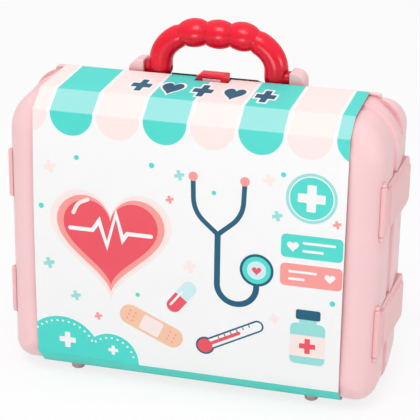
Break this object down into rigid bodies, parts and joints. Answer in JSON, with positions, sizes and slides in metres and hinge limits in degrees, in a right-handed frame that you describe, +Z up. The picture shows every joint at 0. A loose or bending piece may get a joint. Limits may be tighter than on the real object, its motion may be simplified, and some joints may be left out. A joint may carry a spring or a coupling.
{
  "type": "toy doctor case",
  "caption": "Hinged toy carrying case of two moulded half shells, with a folding finger-grip handle, a top latch, side clips, feet and a slip-on card sleeve.",
  "frame": {"origin": "middle of the case in plan, on the surface that the feet stand on", "axes": "+Z up, +Y to the back, -Y towards the printed front, +X towards the clip side"},
  "size_m": [0.3426, 0.1292, 0.311],
  "materials": {
    "shell_pink": "satin moulded polypropylene",
    "strap_pink": "satin moulded polypropylene",
    "handle_red": "glossy moulded ABS",
    "plinth_red": "satin moulded ABS",
    "printed_card": "printed and varnished card",
    "foot_rubber": "matt soft rubber",
    "steel": "drawn steel pin and screw wire"
  },
  "bodies": {
    "base": {"rear_shell": "shell_pink", "handle_plinth": "plinth_red", "handle_pin_right": "steel", "handle_pin_left": "steel", "plinth_screw_left": "steel", "plinth_screw_right": "steel", "latch_pin": "steel", "hinge_rear_leaf_upper": "strap_pink", "hinge_rear_leaf_lower": "strap_pink", "hinge_pin_upper": "steel", "hinge_pin_lower": "steel", "hinge_screw_rear_upper_1": "steel", "hinge_screw_rear_upper_2": "steel", "hinge_screw_rear_lower_1": "steel", "hinge_screw_rear_lower_2": "steel", "foot_rear_right": "foot_rubber", "foot_rear_left": "foot_rubber"},
    "front": {"front_shell": "shell_pink", "hinge_front_leaf_upper": "strap_pink", "hinge_front_leaf_lower": "strap_pink", "hinge_screw_front_upper_1": "steel", "hinge_screw_front_upper_2": "steel", "hinge_screw_front_lower_1": "steel", "hinge_screw_front_lower_2": "steel", "clip_pin_upper": "steel", "clip_pin_lower": "steel", "foot_front_right": "foot_rubber", "foot_front_left": "foot_rubber"},
    "card": {"sleeve": "printed_card"},
    "carrying_handle": {"handle": "handle_red"},
    "latch": {"top_latch": "handle_red"},
    "upper_clip": {"clip_upper": "strap_pink"},
    "lower_clip": {"clip_lower": "strap_pink"}
  },
  "joints": [
    {"name": "case_open", "type": "hinge", "parent": "base", "child": "front", "pos_m": [-0.1688, 0, 0.13], "axis": [0, 0, -1], "range_deg": [0, 165]},
    {"name": "sleeve_slide", "type": "slide", "parent": "front", "child": "card", "axis": [0, -1, 0], "range_m": [0, 0.1]},
    {"name": "handle_fold", "type": "hinge", "parent": "base", "child": "carrying_handle", "pos_m": [0, 0.0326, 0.265], "axis": [-1, 0, 0], "range_deg": [0, 90]},
    {"name": "latch_lift", "type": "hinge", "parent": "base", "child": "latch", "pos_m": [0, 0.0254, 0.2623], "axis": [-1, 0, 0], "range_deg": [0, 60]},
    {"name": "clip_upper_swing", "type": "hinge", "parent": "front", "child": "upper_clip", "pos_m": [0.16118, -0.045, 0.182], "axis": [0, 0, -1], "range_deg": [0, 75]},
    {"name": "clip_lower_swing", "type": "hinge", "parent": "front", "child": "lower_clip", "pos_m": [0.16118, -0.045, 0.073], "axis": [0, 0, -1], "range_deg": [0, 75]}
  ]
}
